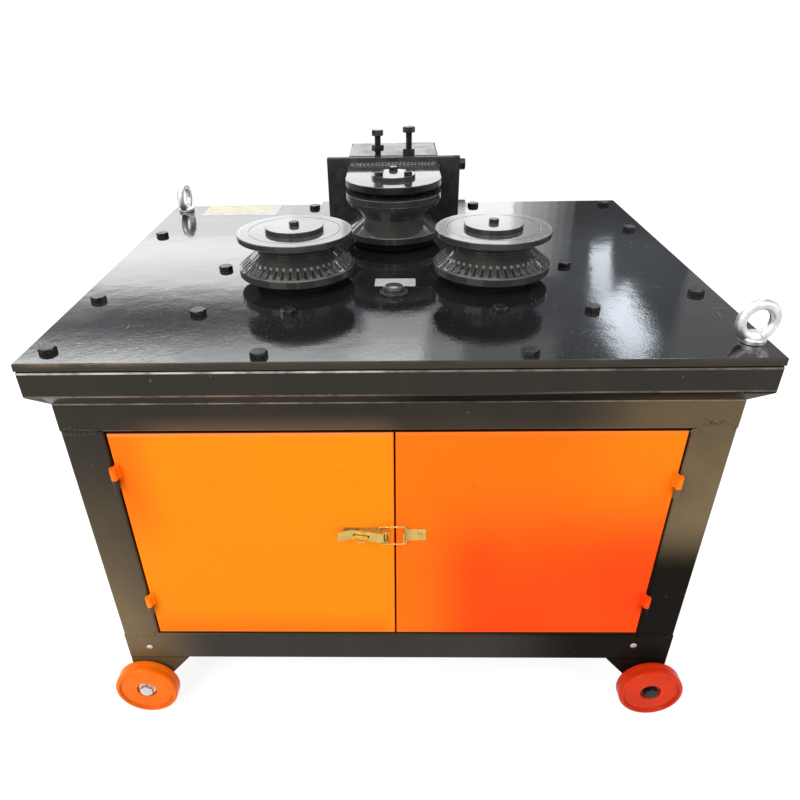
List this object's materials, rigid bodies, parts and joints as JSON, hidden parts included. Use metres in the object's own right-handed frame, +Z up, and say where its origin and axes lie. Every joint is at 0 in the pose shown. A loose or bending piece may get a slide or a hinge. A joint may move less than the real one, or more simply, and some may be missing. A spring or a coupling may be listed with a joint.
{
  "type": "rebar bending machine",
  "caption": "Roller bar bender on a wheeled cabinet: grooved rollers on a steel table, a rear roller on a slide, hinged front doors with a toggle latch.",
  "frame": {"origin": "on the floor under the middle of the table", "axes": "+X to the right seen from the doors, +Y to the back, +Z up"},
  "size_m": [0.914, 0.742, 0.8065],
  "materials": {
    "table_paint": "gloss black enamel",
    "frame_paint": "semi-gloss black enamel",
    "door_paint": "gloss orange enamel",
    "head_paint": "gloss black enamel",
    "wheel_orange": "moulded polyurethane",
    "roller_steel": "turned and blackened",
    "black_bolt": "black oxide",
    "zinc": "bright zinc plate",
    "yellow_zinc": "yellow zinc plate",
    "ground_steel": "ground and oiled",
    "motor_paint": "satin grey enamel",
    "black_plastic": "moulded"
  },
  "bodies": {
    "frame": {"table_plate": "table_paint", "apron_front": "frame_paint", "apron_rear": "frame_paint", "apron_left": "frame_paint", "apron_right": "frame_paint", "apron_skirt": "frame_paint", "legs": "frame_paint", "top_rails": "frame_paint", "bottom_rails": "frame_paint", "side_sheets": "door_paint", "rear_sheet": "door_paint", "floor_sheet": "frame_paint", "cable_gland": "black_plastic", "wheel_brackets": "frame_paint", "axle_bolts": "zinc", "edge_bolts": "black_bolt", "carrier_bolts": "black_bolt", "front_eye_bolt": "zinc", "rear_eye_bolt": "zinc", "centre_plug": "black_bolt", "bearing_covers": "head_paint", "drive_carrier": "frame_paint", "reducer": "motor_paint", "motor": "motor_paint", "guide_housing": "head_paint", "gib_strip": "ground_steel", "housing_base": "table_paint", "plunger_cover": "head_paint", "adjusting_bolts": "black_bolt", "leg_hinges": "frame_paint"},
    "left_roller": {"left_roller_lower": "roller_steel", "left_roller_upper": "roller_steel", "left_spindle": "ground_steel", "left_clamp": "roller_steel", "left_gear": "ground_steel"},
    "right_roller": {"right_roller_lower": "roller_steel", "right_roller_upper": "roller_steel", "right_spindle": "ground_steel", "right_clamp": "roller_steel", "right_gear": "ground_steel"},
    "pinion": {"pinion": "ground_steel"},
    "carriage": {"yoke_upper_arm": "head_paint", "yoke_lower_arm": "head_paint", "yoke_back_plate": "head_paint", "stop_bolt": "black_bolt", "roller_pin": "ground_steel", "pin_cap": "roller_steel", "slide_bar": "ground_steel"},
    "rear_roller": {"rear_roller_lower": "roller_steel", "rear_roller_upper": "roller_steel"},
    "left_door": {"left_door": "door_paint", "latch_base": "yellow_zinc"},
    "right_door": {"right_door": "door_paint", "latch_keeper": "yellow_zinc"},
    "latch_lever": {"latch_lever": "yellow_zinc"},
    "latch_bail": {"latch_bail": "yellow_zinc"},
    "front_left_wheel": {"front_left_wheel": "wheel_orange"},
    "front_right_wheel": {"front_right_wheel": "wheel_orange"},
    "rear_left_wheel": {"rear_left_wheel": "wheel_orange"},
    "rear_right_wheel": {"rear_right_wheel": "wheel_orange"}
  },
  "joints": [
    {"name": "left_roller_spin", "type": "hinge", "parent": "frame", "child": "left_roller", "pos_m": [-0.144, -0.085, 0.688], "axis": [0, 0, 1], "continuous": true},
    {"name": "right_roller_spin", "type": "hinge", "parent": "frame", "child": "right_roller", "pos_m": [0.144, -0.085, 0.688], "axis": [0, 0, 1], "continuous": true},
    {"name": "pinion_spin", "type": "hinge", "parent": "frame", "child": "pinion", "pos_m": [0, -0.145, 0.599], "axis": [0, 0, 1], "continuous": true},
    {"name": "carriage_slide", "type": "slide", "parent": "frame", "child": "carriage", "axis": [0, -1, 0], "range_m": [0, 0.09]},
    {"name": "rear_roller_spin", "type": "hinge", "parent": "carriage", "child": "rear_roller", "pos_m": [0, 0.106, 0.688], "axis": [0, 0, 1], "continuous": true},
    {"name": "left_door_swing", "type": "hinge", "parent": "frame", "child": "left_door", "pos_m": [-0.3715, -0.3505, 0.3465], "axis": [0, 0, -1], "range_deg": [0, 110]},
    {"name": "right_door_swing", "type": "hinge", "parent": "frame", "child": "right_door", "pos_m": [0.3715, -0.3505, 0.3465], "axis": [0, 0, 1], "range_deg": [0, 110]},
    {"name": "latch_lever_swing", "type": "hinge", "parent": "left_door", "child": "latch_lever", "pos_m": [-0.014, -0.348, 0.3635], "axis": [0, 0, 1], "range_deg": [0, 135]},
    {"name": "latch_bail_swing", "type": "hinge", "parent": "latch_lever", "child": "latch_bail", "pos_m": [-0.022, -0.348, 0.3635], "axis": [0, 0, 1], "range_deg": [-135, 0]},
    {"name": "front_left_wheel_spin", "type": "hinge", "parent": "frame", "child": "front_left_wheel", "pos_m": [-0.407, -0.35875, 0.05], "axis": [0, 1, 0], "continuous": true},
    {"name": "front_right_wheel_spin", "type": "hinge", "parent": "frame", "child": "front_right_wheel", "pos_m": [0.407, -0.35875, 0.05], "axis": [0, 1, 0], "continuous": true},
    {"name": "rear_left_wheel_spin", "type": "hinge", "parent": "frame", "child": "rear_left_wheel", "pos_m": [-0.407, 0.35875, 0.05], "axis": [0, 1, 0], "continuous": true},
    {"name": "rear_right_wheel_spin", "type": "hinge", "parent": "frame", "child": "rear_right_wheel", "pos_m": [0.407, 0.35875, 0.05], "axis": [0, 1, 0], "continuous": true}
  ],
  "couplings": [
    {"joint": "right_roller_spin", "follows": "left_roller_spin", "ratio": 1},
    {"joint": "pinion_spin", "follows": "left_roller_spin", "ratio": -2},
    {"joint": "latch_bail_swing", "follows": "latch_lever_swing", "ratio": -1},
    {"joint": "right_door_swing", "follows": "left_door_swing", "ratio": 0.75}
  ]
}
